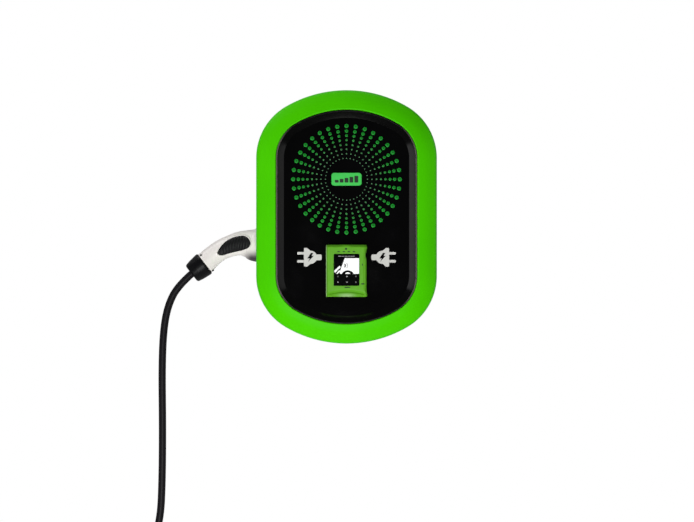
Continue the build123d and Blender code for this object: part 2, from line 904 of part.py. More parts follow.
with BuildPart() as connector_grip:
    for below, radius in ((0, 22), (30, 23), (64, 24), (78, 30), (grip_length, 31)):
        with BuildSketch(down_plane(boot_length + below)):
            Circle(radius)
    loft()
save(connector_grip, "connector_grip")

with BuildPart() as connector_nose:
    with BuildSketch(down_plane(boot_length + grip_length)):
        Circle(27)
    extrude(amount=nose_length)
    with BuildSketch(down_plane(boot_length + grip_length + nose_length)):
        with Locations(*power_spots):
            Circle(4)
        with Locations(*signal_spots):
            Circle(2.5)
    extrude(amount=-30, mode=Mode.SUBTRACT)
save(connector_nose, "connector_nose")
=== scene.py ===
"""Looks of a wall charging unit: its housing, fascia, payment terminal, plug and lead."""
import json
import math

import bmesh
import bpy
from mathutils import Matrix, Vector


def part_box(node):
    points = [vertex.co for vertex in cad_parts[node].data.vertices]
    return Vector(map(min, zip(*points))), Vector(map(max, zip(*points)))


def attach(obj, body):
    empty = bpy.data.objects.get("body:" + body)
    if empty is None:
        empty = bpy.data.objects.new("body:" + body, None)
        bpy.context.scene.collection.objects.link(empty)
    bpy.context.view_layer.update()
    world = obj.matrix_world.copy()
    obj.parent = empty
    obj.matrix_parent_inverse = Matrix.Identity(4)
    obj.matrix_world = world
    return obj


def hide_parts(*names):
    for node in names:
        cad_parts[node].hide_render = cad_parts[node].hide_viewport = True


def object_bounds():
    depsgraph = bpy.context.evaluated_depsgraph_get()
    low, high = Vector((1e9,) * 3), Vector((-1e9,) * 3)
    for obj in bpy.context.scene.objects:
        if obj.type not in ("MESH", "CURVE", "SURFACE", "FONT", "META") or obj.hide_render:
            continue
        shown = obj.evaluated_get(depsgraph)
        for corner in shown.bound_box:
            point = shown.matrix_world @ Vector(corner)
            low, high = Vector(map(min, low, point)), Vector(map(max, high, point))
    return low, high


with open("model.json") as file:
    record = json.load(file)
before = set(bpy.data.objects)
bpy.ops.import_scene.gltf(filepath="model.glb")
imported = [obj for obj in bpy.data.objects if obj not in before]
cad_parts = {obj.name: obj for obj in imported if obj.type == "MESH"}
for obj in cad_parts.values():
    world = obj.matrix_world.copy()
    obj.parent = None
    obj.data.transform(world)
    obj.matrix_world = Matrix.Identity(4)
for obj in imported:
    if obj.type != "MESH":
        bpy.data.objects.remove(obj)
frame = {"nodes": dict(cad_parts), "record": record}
cad_low, cad_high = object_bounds()
nodes = frame["nodes"]
MM = 0.001


# ---------------------------------------------------------------- materials


def srgb(red, green, blue):
    """A colour given as on a screen, 0 to 255, in the linear numbers that a shader takes."""
    def linear(value):
        value /= 255
        return value / 12.92 if value < 0.04045 else ((value + 0.055) / 1.055) ** 2.4
    return (linear(red), linear(green), linear(blue), 1.0)


def feed(tree, socket, value):
    """Links a socket to another node's output, or sets its value."""
    if isinstance(value, bpy.types.NodeSocket):
        tree.links.new(value, socket)
    else:
        socket.default_value = value


def add_node(tree, kind, settings=None, inputs=None):
    made = tree.nodes.new(kind)
    for name, value in (settings or {}).items():
        setattr(made, name, value)
    for name, value in (inputs or {}).items():
        feed(tree, made.inputs[name], value)
    return made


class Wire:
    """One output of a node. Arithmetic on it adds Math nodes."""

    def __init__(self, finish, socket):
        self.finish = finish
        self.socket = socket

    def math(self, operation, *others):
        values = dict(enumerate((self, *others)))
        return self.finish.node("ShaderNodeMath", {"operation": operation}, values)

    def reflected(self, operation, other):
        return self.finish.node("ShaderNodeMath", {"operation": operation}, {0: other, 1: self})

    def __add__(self, other):
        return self.math("ADD", other)

    def __sub__(self, other):
        return self.math("SUBTRACT", other)

    def __rsub__(self, other):
        return self.reflected("SUBTRACT", other)

    def __mul__(self, other):
        return self.math("MULTIPLY", other)

    def __truediv__(self, other):
        return self.math("DIVIDE", other)

    def __pow__(self, other):
        return self.math("POWER", other)

    def between(self, start, end):
        """0 up to start, 1 past end and smooth in between. End may be the lower of the two."""
        return self.finish.node("ShaderNodeMapRange", {"interpolation_type": "SMOOTHSTEP"},
                                {"Value": self, "From Min": start, "From Max": end})

    __radd__ = __add__
    __rmul__ = __mul__


class Finish:
    """A material under construction, with one Principled shader."""

    def __init__(self, name, **constants):
        self.material = bpy.data.materials.new(name)
        self.material.use_nodes = True
        self.tree = self.material.node_tree
        self.tree.nodes.clear()
        self.output = self.tree.nodes.new("ShaderNodeOutputMaterial")
        self.shader = self.tree.nodes.new("ShaderNodeBsdfPrincipled")
        self.tree.links.new(self.shader.outputs[0], self.output.inputs[0])
        for socket, value in constants.items():
            self.shader.inputs[socket.replace("_", " ")].default_value = value

    def node(self, kind, settings=None, inputs=None, output=0):
        made = add_node(self.tree, kind, settings)
        for name, value in (inputs or {}).items():
            self.feed(made.inputs[name], value)
        return Wire(self, made.outputs[output])

    def feed(self, socket, value):
        feed(self.tree, socket, value.socket if isinstance(value, Wire) else value)

    def drive(self, socket, value):
        self.feed(self.shader.inputs[socket], value)

    def place(self):
        return self.node("ShaderNodeTexCoord", output="Object")

    def noise(self, scale, detail=2.0, place=None):
        inputs = {"Vector": place or self.place(), "Scale": scale, "Detail": detail}
        return self.node("ShaderNodeTexNoise", {}, inputs, "Fac")

    def axes(self):
        """The x, y and z of a point of the piece, in metres."""
        place = self.place()
        return [self.node("ShaderNodeSeparateXYZ", {}, {0: place}, axis) for axis in "XYZ"]

    def blend(self, share, first, second):
        made = self.tree.nodes.new("ShaderNodeMix")
        made.data_type = "RGBA"
        self.feed(made.inputs[0], share)
        self.feed(made.inputs[6], first)
        self.feed(made.inputs[7], second)
        return Wire(self, made.outputs[2])

    def bump(self, height, depth):
        """Raises the surface by height times depth, in metres."""
        normal = self.node("ShaderNodeBump", {}, {"Height": height, "Distance": depth})
        self.drive("Normal", normal)


def shade(colour, factor):
    return tuple(min(1.0, c * factor) for c in colour[:3]) + (1.0,)


def moulded(name, colour, roughness, grain=900.0, depth=0.00004, variation=0.06, gloss=0.3,
            roughness_range=0.06, glow=0.0):
    """Moulded plastic: a fine spark grain, slow changes of tone and unevenly handled gloss."""
    finish = Finish(name, Specular_IOR_Level=gloss, Emission_Strength=glow)
    slow = finish.noise(9.0, 3.0)
    cloud = finish.noise(60.0, 4.0)
    fine = finish.noise(grain, 2.0)
    tone = (slow * 0.6 + cloud * 0.4).between(0.3, 0.7)
    finish.drive("Base Color", finish.blend(tone, shade(colour, 1 - variation),
                                            shade(colour, 1 + variation)))
    finish.drive("Roughness", roughness + (cloud - 0.5) * roughness_range + (fine - 0.5) * 0.04)
    finish.bump(fine, depth)
    return finish.material


def metal(name, colour, roughness, brush=(40.0, 40.0, 900.0), depth=0.00002):
    """Drawn or ground metal with fine lines along one direction."""
    finish = Finish(name, Metallic=1.0)
    place = finish.node("ShaderNodeMapping", {}, {"Vector": finish.place(), "Scale": brush})
    lines = finish.noise(1.0, 4.0, place)
    blotch = finish.noise(35.0, 3.0)
    finish.drive("Base Color", finish.blend(blotch, shade(colour, 0.82), colour))
    finish.drive("Roughness", roughness + (lines - 0.5) * 0.25 + (blotch - 0.5) * 0.1)
    finish.bump(lines, depth)
    return finish.material


def glossy_panel():
    """Polished acrylic, deep black, with the faintest haze from wiping."""
    finish = Finish("polished_black_acrylic", IOR=1.49, Specular_IOR_Level=0.3)
    haze = finish.noise(14.0, 5.0)
    finish.drive("Base Color", finish.blend(haze, srgb(3, 3, 3), srgb(7, 7, 8)))
    finish.drive("Roughness", 0.05 + haze.between(0.45, 0.8) * 0.07)
    finish.bump(finish.noise(3.0, 1.0), 0.00003)
    return finish.material


def lime_shell():
    """Lime green moulding in a satin gloss."""
    finish = Finish("lime_shell", Specular_IOR_Level=0.05, Coat_Weight=0.01, Coat_Roughness=0.25)
    slow = finish.noise(7.0, 3.0)
    orange_peel = finish.noise(420.0, 2.0)
    finish.drive("Base Color", finish.blend(slow.between(0.3, 0.7), srgb(72, 207, 0),
                                            srgb(76, 212, 0)))
    finish.drive("Roughness", 0.42 + (slow - 0.5) * 0.08)
    finish.bump(orange_peel, 0.00002)
    return finish.material


def lip_finish():
    """The raised bead round the fascia, with a painted highlight along its straight sides."""
    finish = Finish("bezel_lip", Specular_IOR_Level=0.08)
    x = finish.axes()[0]
    # painted highlight: grey where the bead runs along the straight sides, near black elsewhere,
    # mottled by noise
    side = ((x * x) ** 0.5).between(0.11, 0.15)
    highlight_mottle = finish.noise(240.0, 3.0)
    finish.drive("Base Color", finish.blend(side * (highlight_mottle * 0.5 + 0.75), srgb(14, 13, 12),
                                            srgb(98, 94, 88)))
    finish.drive("Roughness", 0.3 + (highlight_mottle - 0.5) * 0.1)
    return finish.material


def plug_finish():
    """White moulding with painted shade on its underside, where the handle meets the socket."""
    finish = Finish("plug_white", Specular_IOR_Level=0.3)
    x, _, z = finish.axes()
    cloud = finish.noise(60.0, 4.0)
    # painted shade: darker and rougher under the handle, next to the socket
    near_socket = x.between(-0.226, -0.2)
    painted_shade = near_socket * z.between(-0.066, -0.088) * (cloud * 0.3 + 0.85)
    # the vehicle connector, far below, gets no painted shade
    painted_shade = painted_shade * (1.0 - z.between(-0.3, -0.4))
    white = finish.blend(cloud, srgb(240, 234, 231), srgb(246, 240, 237))
    finish.drive("Base Color", finish.blend(painted_shade, white, srgb(64, 58, 64)))
    finish.drive("Roughness", 0.34 + (cloud - 0.5) * 0.06 + painted_shade * 0.2)
    finish.bump(finish.noise(1000.0, 2.0), 0.00002)
    return finish.material


def terminal_finish():
    """Yellow-green moulding with a painted highlight along its left edge and lower lip, and
    painted shade along its top.
    """
    finish = Finish("terminal_green", Specular_IOR_Level=0.12)
    x, _, z = finish.axes()
    cloud = finish.noise(60.0, 4.0)
    # painted highlight masks: the left edge and the lower lip
    left = 1.0 - x.between(-0.0425, -0.0405)
    lip = ((x * x) ** 0.5).between(0.024, 0.002) * z.between(-0.158, -0.1655)
    # painted shade mask along the sloped top strip, away from its middle peak
    top = z.between(-0.0635, -0.0605) * ((x * x) ** 0.5).between(0.004, 0.012)
    green = finish.blend(cloud, srgb(90, 166, 28), srgb(102, 178, 38))
    # painted highlight: paler green where the masks are, mottled by noise
    highlight_mottle = (left * 0.55 + lip * 0.45) * (cloud * 0.4 + 0.8)
    highlighted = finish.blend(highlight_mottle, green, srgb(190, 216, 168))
    # painted shade darkens the top strip
    finish.drive("Base Color", finish.blend(top * 0.25, highlighted, srgb(48, 104, 14)))
    finish.drive("Roughness", 0.4 + (cloud - 0.5) * 0.06)
    finish.bump(finish.noise(1100.0, 2.0), 0.00003)
    return finish.material


def lit(name, colour, strength, base=(0.02, 0.02, 0.02, 1.0)):
    """Something that glows under a clear cover."""
    finish = Finish(name, Roughness=0.3, Emission_Strength=strength)
    mottle = finish.noise(300.0, 2.0)
    finish.drive("Base Color", finish.blend(mottle, base, shade(base, 1.3)))
    finish.drive("Emission Color", finish.blend(mottle, colour, shade(colour, 0.94)))
    return finish.material


shell_green = lime_shell()
bezel_black = moulded("bezel_black", srgb(7, 7, 7), 0.15, grain=1500.0, depth=0.000005,
                      gloss=0.45)
lip_with_painted_highlight = lip_finish()
fascia_black = glossy_panel()
housing_grey = moulded("housing_grey", srgb(44, 46, 49), 0.55, grain=700.0, depth=0.00008)
badge_green = lit("badge_green", srgb(40, 205, 70), 0.06, srgb(46, 190, 70))
badge_dark = moulded("badge_marks", srgb(6, 34, 12), 0.5)
terminal_green = terminal_finish()
screen_black = moulded("screen_glass", srgb(3, 3, 4), 0.12, depth=0.000002, gloss=0.12,
                       roughness_range=0.02)
screen_white = lit("screen_white", srgb(245, 247, 245), 0.25, srgb(222, 222, 222))
screen_dim = lit("screen_dim", srgb(140, 140, 140), 0.3, srgb(110, 110, 110))
screen_faint = lit("screen_faint", srgb(70, 70, 70), 0.2, srgb(60, 60, 60))
screen_ink = moulded("screen_ink", srgb(60, 60, 62), 0.4)
icon_white = moulded("printed_symbol", srgb(212, 212, 207), 0.5, grain=1600.0, depth=0.00001)
mark_dark = moulded("moulded_mark", srgb(16, 40, 8), 0.6)
plug_white = plug_finish()
grip_black = moulded("grip_rubber", srgb(19, 19, 21), 0.5, grain=1300.0, depth=0.00006, gloss=0.2)
cap_black = moulded("cap_black", srgb(16, 16, 18), 0.36, grain=1100.0, gloss=0.08)
socket_black = moulded("socket_black", srgb(20, 20, 21), 0.5, grain=900.0)
seal_rubber = moulded("seal_rubber", srgb(16, 16, 16), 0.75, grain=700.0)
sheath_black = moulded("lead_sheath", srgb(25, 23, 26), 0.42, grain=500.0, depth=0.00008,
                       gloss=0.08)
strap_black = moulded("tie_strap", srgb(18, 18, 20), 0.85, grain=350.0, depth=0.0003)
module_grey = moulded("module_grey", srgb(196, 198, 198), 0.5)
switch_blue = moulded("switch_blue", srgb(34, 68, 150), 0.4)
button_yellow = moulded("button_yellow", srgb(212, 172, 40), 0.4)
gland_grey = moulded("gland_grey", srgb(90, 92, 94), 0.5)
board_green = moulded("circuit_board", srgb(20, 92, 48), 0.35)
diffuser_white = moulded("milky_diffuser", srgb(225, 232, 226), 0.4)
inner_black = moulded("inner_black", srgb(26, 26, 27), 0.55)
steel = metal("galvanised_steel", srgb(190, 193, 196), 0.42, (30.0, 30.0, 30.0))
zinc = metal("zinc_plate", srgb(205, 204, 196), 0.3)
pin_steel = metal("ground_pin", srgb(200, 200, 200), 0.22)
silver = metal("silver_contact", srgb(214, 208, 190), 0.25)

slot_finish = {
    "green_shell": shell_green, "housing_grey": housing_grey, "bezel_black": bezel_black,
    "fascia_gloss": fascia_black, "inner_black": inner_black, "badge_green": badge_green,
    "light_diffuser": diffuser_white, "circuit_board": board_green,
    "terminal_green": terminal_green, "screen_glass": screen_black,
    "galvanised_steel": steel, "zinc_screws": zinc, "hinge_steel": pin_steel,
    "seal_rubber": seal_rubber, "socket_black": socket_black, "contact_silver": silver,
    "module_grey": module_grey, "switch_blue": switch_blue, "button_yellow": button_yellow,
    "supply_metal": zinc, "gland_grey": gland_grey, "plug_white": plug_white,
    "grip_rubber": grip_black, "connector_black": socket_black, "lead_sheath": sheath_black,
    "tie_strap": strap_black,
}
for entry in frame["record"]["subparts"]:
    mesh = nodes[entry["node"]].data
    mesh.materials.clear()
    mesh.materials.append(slot_finish[entry["material_slot"]])


# ---------------------------------------------------------------- mesh helpers


def piece(name, points, faces, material, body="root", slot=None, smooth=True, replaced=()):
    """A mesh object that rides on a body, from points in millimetres."""
    mesh = bpy.data.meshes.new(name)
    mesh.from_pydata([Vector(p) * MM for p in points], [], faces)
    work = bmesh.new()
    work.from_mesh(mesh)
    bmesh.ops.remove_doubles(work, verts=work.verts, dist=1e-7)
    bmesh.ops.recalc_face_normals(work, faces=work.faces)
    work.to_mesh(mesh)
    work.free()
    made = bpy.data.objects.new(name, mesh)
    bpy.context.collection.objects.link(made)
    mesh.materials.append(material)
    for face in mesh.polygons:
        face.use_smooth = smooth
    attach(made, body)
    if replaced:
        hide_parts(*replaced)
    return made


def skin(rings, closed_along=False):
    """Points and faces of a surface through rings of points, each ring a closed loop."""
    count = len(rings[0])
    points = [p for ring in rings for p in ring]
    faces = []
    steps = len(rings) if closed_along else len(rings) - 1
    for i in range(steps):
        a, b = i * count, (i + 1) % len(rings) * count
        for j in range(count):
            k = (j + 1) % count
            faces.append((a + j, a + k, b + k, b + j))
    if not closed_along:
        faces.append(tuple(range(count)))
        faces.append(tuple(range(len(points) - count, len(points))))
    return points, faces


def circle_angles(count):
    return [math.tau * n / count for n in range(count)]


def rounded(corners, radii, steps=6, closed=True):
    """A polygon's points with each corner turned into an arc of the given radius."""
    result = []
    count = len(corners)
    for i, (corner, radius) in enumerate(zip(corners, radii)):
        here = Vector(corner)
        if radius <= 0 or (not closed and i in (0, count - 1)):
            result.append(tuple(here))
            continue
        back = (Vector(corners[i - 1]) - here).normalized()
        ahead = (Vector(corners[(i + 1) % count]) - here).normalized()
        half = back.angle(ahead) / 2
        reach = radius / math.tan(half)
        middle = here + (back + ahead).normalized() * radius / math.sin(half)
        first = here + back * reach - middle
        last = here + ahead * reach - middle
        turn = first.angle_signed(last)
        for n in range(steps + 1):
            angle = -turn * n / steps
            cos, sin = math.cos(angle), math.sin(angle)
            result.append((middle.x + first.x * cos - first.y * sin,
                           middle.y + first.x * sin + first.y * cos))
    return result


def box_loop(width, height, radius, x=0.0, z=0.0, steps=6):
    w, h = width / 2, height / 2
    corners = [(x - w, z - h), (x + w, z - h), (x + w, z + h), (x - w, z + h)]
    return rounded(corners, [radius] * 4, steps)


def plate(name, loop, back, front, material, edge=0.0, **ride):
    """A flat piece of the outline loop, from depth back to depth front, its front edge eased."""
    rings = [[(x, -back, z) for x, z in loop]]
    if edge:
        rings.append([(x, -(front - edge), z) for x, z in loop])
        middle = Vector((sum(p[0] for p in loop), sum(p[1] for p in loop))) / len(loop)
        size = max((Vector(p) - middle).length for p in loop)
        scale = 1 - edge / size
        rings.append([(middle.x + (x - middle.x) * scale, -front,
                       middle.y + (z - middle.y) * scale) for x, z in loop])
    else:
        rings.append([(x, -front, z) for x, z in loop])
    points, faces = skin(rings)
    return piece(name, points, faces, material, smooth=False, **ride)


# ---------------------------------------------------------------- front cover

shell_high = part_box("front_shell")[1]
half_width = shell_high[0] / MM
half_height = shell_high[2] / MM
crown_radius = 254.0
corner_radius = 125.0
fascia_front = -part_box("fascia_panel")[0][1] / MM
shell_back = -shell_high[1] / MM
shell_front = 170.5
straight_steps = 9


def outline_spots(arc_step=1.5):
    """Points of the housing's outline with the direction that faces outwards at each."""
    corner_x = half_width - corner_radius
    crown_z = half_height - crown_radius
    reach = crown_radius - corner_radius
    corner_z = crown_z + math.sqrt(reach**2 - corner_x**2)
    meet = math.degrees(math.atan2(corner_z - crown_z, corner_x))
    quarter = []
    for n in range(straight_steps):
        quarter.append((half_width, corner_z * n / straight_steps, 1.0, 0.0))
    count = round(meet / arc_step)
    for n in range(count):
        angle = math.radians(meet * n / count)
        out = (math.cos(angle), math.sin(angle))
        quarter.append((corner_x + corner_radius * out[0], corner_z + corner_radius * out[1],
                        *out))
    count = round((90 - meet) / arc_step)
    for n in range(count + 1):
        angle = math.radians(meet + (90 - meet) * n / count)
        out = (math.cos(angle), math.sin(angle))
        quarter.append((crown_radius * out[0], crown_z + crown_radius * out[1], *out))
    left = [(-x, z, -u, v) for x, z, u, v in reversed(quarter[:-1])]
    upper = quarter + left
    lower = [(-x, -z, -u, -v) for x, z, u, v in upper[1:-1]]
    return upper + lower


spots = outline_spots()


def around(name, profile, material, **ride):
    """A ring of constant section: profile holds (inset, depth) pairs along the outline."""
    rings = [[(x - u * inset, -depth, z - v * inset) for inset, depth in profile]
             for x, z, u, v in spots]
    points, faces = skin(rings, closed_along=True)
    return sharpen(piece(name, points, faces, material, **ride))


def sharpen(made, angle=35):
    """Marks the edges that turn by more than angle as sharp, so that flats stay flat."""
    work = bmesh.new()
    work.from_mesh(made.data)
    for edge in work.edges:
        if len(edge.link_faces) == 2 and edge.calc_face_angle() > math.radians(angle):
            edge.smooth = False
    work.to_mesh(made.data)
    work.free()
    return made


lip_inset = 42.1
fascia_inset = 58.5
# sections as (inset, depth): over the outside to the front, then back along the inside
shell_corners = [
    (0, shell_back), (0, 150), (21, 164), (41.5, shell_front), (41.5, 155), (50, 155),
    (50, 151.5), (38, 151.5), (38, 165), (22.5, 160.5), (3.5, 148), (3.5, shell_back)]
shell_radii = [0.8, 14, 60, 2.6, 0, 0, 0, 0, 0, 0, 0, 0.8]
around("shell_skin", rounded(shell_corners, shell_radii, 10), shell_green,
       slot="green_shell", replaced=["front_shell"])

bezel_corners = [(lip_inset, 155), (lip_inset, 168.2), (44.6, 168.2), (45.2, 167.4),
                 (fascia_inset, fascia_front), (fascia_inset, 156), (50.5, 156), (50.5, 155)]
around("bezel_skin", rounded(bezel_corners, [0, 0.6, 0.3, 0.4, 0.5, 0, 0, 0], 4), bezel_black,
       slot="bezel_black", replaced=["bezel_frame"])
lip_corners = [(lip_inset + 0.2, 168.0), (lip_inset + 0.2, 168.8), (44.8, 168.8),
               (44.8, 168.0)]
around("bezel_lip", rounded(lip_corners, [0.0, 0.35, 0.35, 0.0], 4), lip_with_painted_highlight, slot="bezel_black")


# ---------------------------------------------------------------- starburst


def starburst_tree(material):
    """Rings of domed dots on evenly spaced spokes, each ring smaller than the one outside it."""
    tree = bpy.data.node_groups.new("starburst", "GeometryNodeTree")
    tree.interface.new_socket("Geometry", in_out="OUTPUT", socket_type="NodeSocketGeometry")
    defaults = {"Spokes": 36, "Rings": 8, "Outer radius": 0.112, "Ring step": 0.0095,
                "Outer gap": 0.0014, "Dot radius": 0.0045, "Shrink": 0.835,
                "Dome height": 0.0011}
    inputs = {}
    for name, value in defaults.items():
        kind = "NodeSocketInt" if isinstance(value, int) else "NodeSocketFloat"
        inputs[name] = tree.interface.new_socket(name, in_out="INPUT", socket_type=kind)
        inputs[name].default_value = value
    group_in = tree.nodes.new("NodeGroupInput")

    def add(kind, settings=None, values=None):
        return add_node(tree, kind, settings, values)

    def sums(operation, first, second=0.0):
        return add("ShaderNodeMath", {"operation": operation}, {0: first, 1: second}).outputs[0]

    given = group_in.outputs
    total = sums("MULTIPLY", given["Spokes"], given["Rings"])
    cloud = add("GeometryNodeMeshLine", {}, {"Count": total, "Offset": (0, 0, 0)})
    index = add("GeometryNodeInputIndex").outputs[0]
    ring = sums("FLOOR", sums("DIVIDE", sums("ADD", index, 0.5), given["Spokes"]))
    inner = sums("MULTIPLY", sums("MINIMUM", ring, 1.0), given["Outer gap"])
    radius = sums("SUBTRACT", given["Outer radius"],
                  sums("ADD", inner, sums("MULTIPLY", ring, given["Ring step"])))
    angle = sums("MULTIPLY", index, sums("DIVIDE", math.tau, given["Spokes"]))
    spot = add("ShaderNodeCombineXYZ", {}, {
        "X": sums("MULTIPLY", radius, sums("SINE", angle)),
        "Z": sums("MULTIPLY", radius, sums("COSINE", angle))})
    placed = add("GeometryNodeSetPosition", {}, {
        "Geometry": cloud.outputs[0], "Position": spot.outputs[0]})
    dot = add("GeometryNodeMeshUVSphere", {}, {"Segments": 20, "Rings": 10, "Radius": 1.0})
    turned = add("GeometryNodeTransform", {}, {
        "Geometry": dot.outputs[0], "Rotation": (math.pi / 2, 0, 0)})
    across = add("ShaderNodeSeparateXYZ", {}, {0: add("GeometryNodeInputPosition").outputs[0]})
    rim = sums("SQRT", sums("ADD", sums("POWER", across.outputs[0], 2.0),
                            sums("POWER", across.outputs[2], 2.0)))
    marked = add("GeometryNodeStoreNamedAttribute", {"data_type": "FLOAT"}, {
        "Geometry": turned.outputs[0], "Name": "rim", "Value": rim})
    shrunk = sums("POWER", given["Shrink"], ring)
    size = sums("MULTIPLY", given["Dot radius"], shrunk)
    scale = add("ShaderNodeCombineXYZ", {}, {
        "X": size, "Y": sums("MULTIPLY", given["Dome height"], shrunk), "Z": size})
    dots = add("GeometryNodeInstanceOnPoints", {}, {
        "Points": placed.outputs[0], "Instance": marked.outputs[0], "Scale": scale.outputs[0]})
    real = add("GeometryNodeRealizeInstances", {}, {"Geometry": dots.outputs[0]})
    coated = add("GeometryNodeSetMaterial", {}, {
        "Geometry": real.outputs[0], "Material": material})
    group_out = tree.nodes.new("NodeGroupOutput")
    tree.links.new(coated.outputs[0], group_out.inputs[0])
    return tree, inputs


def baked(name, tree, values, body="root", move=(0, 0, 0)):
    """Runs a geometry tree on an empty mesh and keeps its result as a plain piece."""
    holder = bpy.data.objects.new(name + "_holder", bpy.data.meshes.new(name + "_holder"))
    bpy.context.collection.objects.link(holder)
    modifier = holder.modifiers.new(name, "NODES")
    modifier.node_group = tree
    for socket, value in values:
        modifier[socket.identifier] = value
    evaluated = holder.evaluated_get(bpy.context.evaluated_depsgraph_get())
    mesh = bpy.data.meshes.new_from_object(evaluated)
    holder.modifiers.remove(modifier)
    bpy.data.objects.remove(holder)
    mesh.transform(Matrix.Translation(move))
    mesh.name = name
    made = bpy.data.objects.new(name, mesh)
    bpy.context.collection.objects.link(made)
    for face in mesh.polygons:
        face.use_smooth = True
    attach(made, body)
    return made


badge_low, badge_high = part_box("status_badge")
burst_z = (badge_low[2] + badge_high[2]) / 2


def dot_finish():
    """Green lenses: the inner ones greyer, the outer ones with a darker core."""
    finish = Finish("starburst_dots", Roughness=0.4, Specular_IOR_Level=0.06)
    x, _, z = finish.axes()
    away = ((x * x) + (z - burst_z) ** 2.0) ** 0.5
    outer = away.between(0.045, 0.1)
    rim = finish.node("ShaderNodeAttribute", {"attribute_name": "rim"}, output="Fac")
    cloud = finish.noise(800.0, 2.0)
    green = finish.blend(cloud, srgb(24, 142, 44), srgb(34, 160, 52))
    grey = finish.blend(outer, srgb(84, 128, 92), green)
    core = finish.blend(rim.between(0.25, 0.6), srgb(22, 96, 32), grey)
    finish.drive("Base Color", finish.blend(outer, grey, core))
    return finish.material


tree, sockets = starburst_tree(dot_finish())
baked("starburst", tree, [(sockets["Outer radius"], 0.1121), (sockets["Ring step"], 0.00952)],
      move=(0, -fascia_front * MM, burst_z))


# ---------------------------------------------------------------- badge and printed symbols

badge_width = (badge_high[0] - badge_low[0]) / MM
badge_height = (badge_high[2] - badge_low[2]) / MM
badge_front = -badge_low[1] / MM
badge_z = burst_z / MM
plate("badge_plate", box_loop(badge_width, badge_height, 6, 0, badge_z, 10), fascia_front,
      badge_front, badge_green, edge=0.7, slot="badge_green", replaced=["status_badge"])
gauge_width = 49.0
gauge_base = badge_z - 7.0
bar_count = 5
bar_gap = 2.4
bar_width = (gauge_width - (bar_count - 1) * bar_gap) / bar_count
for n in range(bar_count):
    x = -gauge_width / 2 + bar_width / 2 + n * (bar_width + bar_gap)
    height = 5.6 + 2.1 * n
    plate(f"charge_bar_{n + 1}", box_loop(bar_width, height, 1.2, x, gauge_base + height / 2),
          badge_front - 0.1, badge_front + 0.15, badge_dark, slot="inner_black")

symbol_z = -85.0
symbol_x = 78.5
symbol_lift = 0.25


def symbol_part(name, corners, radii, material, lift=symbol_lift):
    plate(name, rounded(corners, radii, 5), fascia_front - 0.1, fascia_front + lift, material,
          slot="light_diffuser")


def plug_symbol(name, side):
    """A plug seen from the side, its two prongs away from the middle of the fascia."""
    def at(pairs):
        return [(side * (symbol_x + u), symbol_z + v) for u, v in pairs]
    bow_middle, bow_radius = -3.0, 13.8
    bow = [(bow_middle + bow_radius * math.cos(math.radians(a)),
            bow_radius * math.sin(math.radians(a))) for a in range(88, 156, 6)]
    upper = [(11.0, 19.6), (4.2, 19.6), *bow, (-26.3, 6.0)]
    radii = [2.4, 2.6] + [0] * len(bow) + [2.6]
    body = upper + [(u, -v) for u, v in reversed(upper)]
    symbol_part(f"{name}_body", at(body), radii + radii[::-1], icon_white)
    root, tip, half = 11.2, 25.4, 2.7
    for label, v in (("upper", 8.4), ("lower", -8.4)):
        prong = [(root, v - half), (tip, v - half), (tip, v + half), (root, v + half)]
        symbol_part(f"{name}_prong_{label}", at(prong), [0.4, 2.4, 2.4, 0.4], icon_white)
    # the flash isn't mirrored
    flash = [(6.0, 9.0), (0.6, 9.0), (-6.6, -2.4), (-1.6, -2.4), (-5.0, -9.6), (6.8, 3.2),
             (2.2, 3.2)]
    flash = [(side * (symbol_x - 2.9) + u, symbol_z + v) for u, v in flash]
    symbol_part(f"{name}_flash", flash, [0] * len(flash), fascia_black, symbol_lift + 0.06)


plug_symbol("symbol_left", -1)
plug_symbol("symbol_right", 1)


# ---------------------------------------------------------------- payment terminal

terminal_low, terminal_high = (Vector(c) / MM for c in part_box("terminal_housing"))
terminal_x = (terminal_low.x + terminal_high.x) / 2
terminal_z = (terminal_low.z + terminal_high.z) / 2
terminal_half = Vector((terminal_high.x - terminal_low.x, terminal_high.z - terminal_low.z)) / 2
terminal_front = -terminal_low.y
terminal_face = terminal_front - 1.0
glass_low, glass_high = (Vector(c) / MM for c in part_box("terminal_glass"))


def ramp(value, start, end):
    share = max(0.0, min(1.0, (value - start) / (end - start)))
    return share * share * (3 - 2 * share)


def terminal_depth(x, z):
    """How far the terminal's face stands in front of the wall, x and z from its middle."""
    w, h = terminal_half
    depth = terminal_face
    # the left and right edges fall away
    depth -= 6.0 * (1 - ramp(x, -w, -w + 3.6))
    depth -= 4.0 * (1 - ramp(-x, -w, -w + 3.0))
    # sloped strip along the top, shallower at a peak in the middle
    peak = math.exp(-(x / 9.0) ** 2)
    depth -= 5.5 * ramp(z, h - 5.2 + peak * 2.0, h + 0.5) * (1 - 0.45 * peak)
    # shallow cheek on the right, wider in the middle
    cheek = w - 6.0 - 1.6 * math.cos(z / h * 1.5)
    depth -= 1.2 * ramp(x, cheek, cheek + 2.2) * ramp(z, -h + 12, -h + 18)
    # lower lip: an arched groove over a bulged edge
    arch = -h + 5.0 + 6.5 * math.cos(min(1.0, abs(x) / w) * math.pi / 2)
    groove = math.exp(-((z - arch) / 2.4) ** 2)
    depth -= 2.6 * groove * (1 - ramp(abs(x), w - 10, w - 2))
    depth -= 3.4 * (1 - ramp(z, -h, -h + 3.0))
    return depth


def grid_line(low, high, step, *extra):
    count = round((high - low) / step)
    values = [low + (high - low) * n / count for n in range(count + 1)]
    kept = [v for v in values if all(abs(v - e) > step * 0.45 for e in extra)]
    return sorted(kept + list(extra))


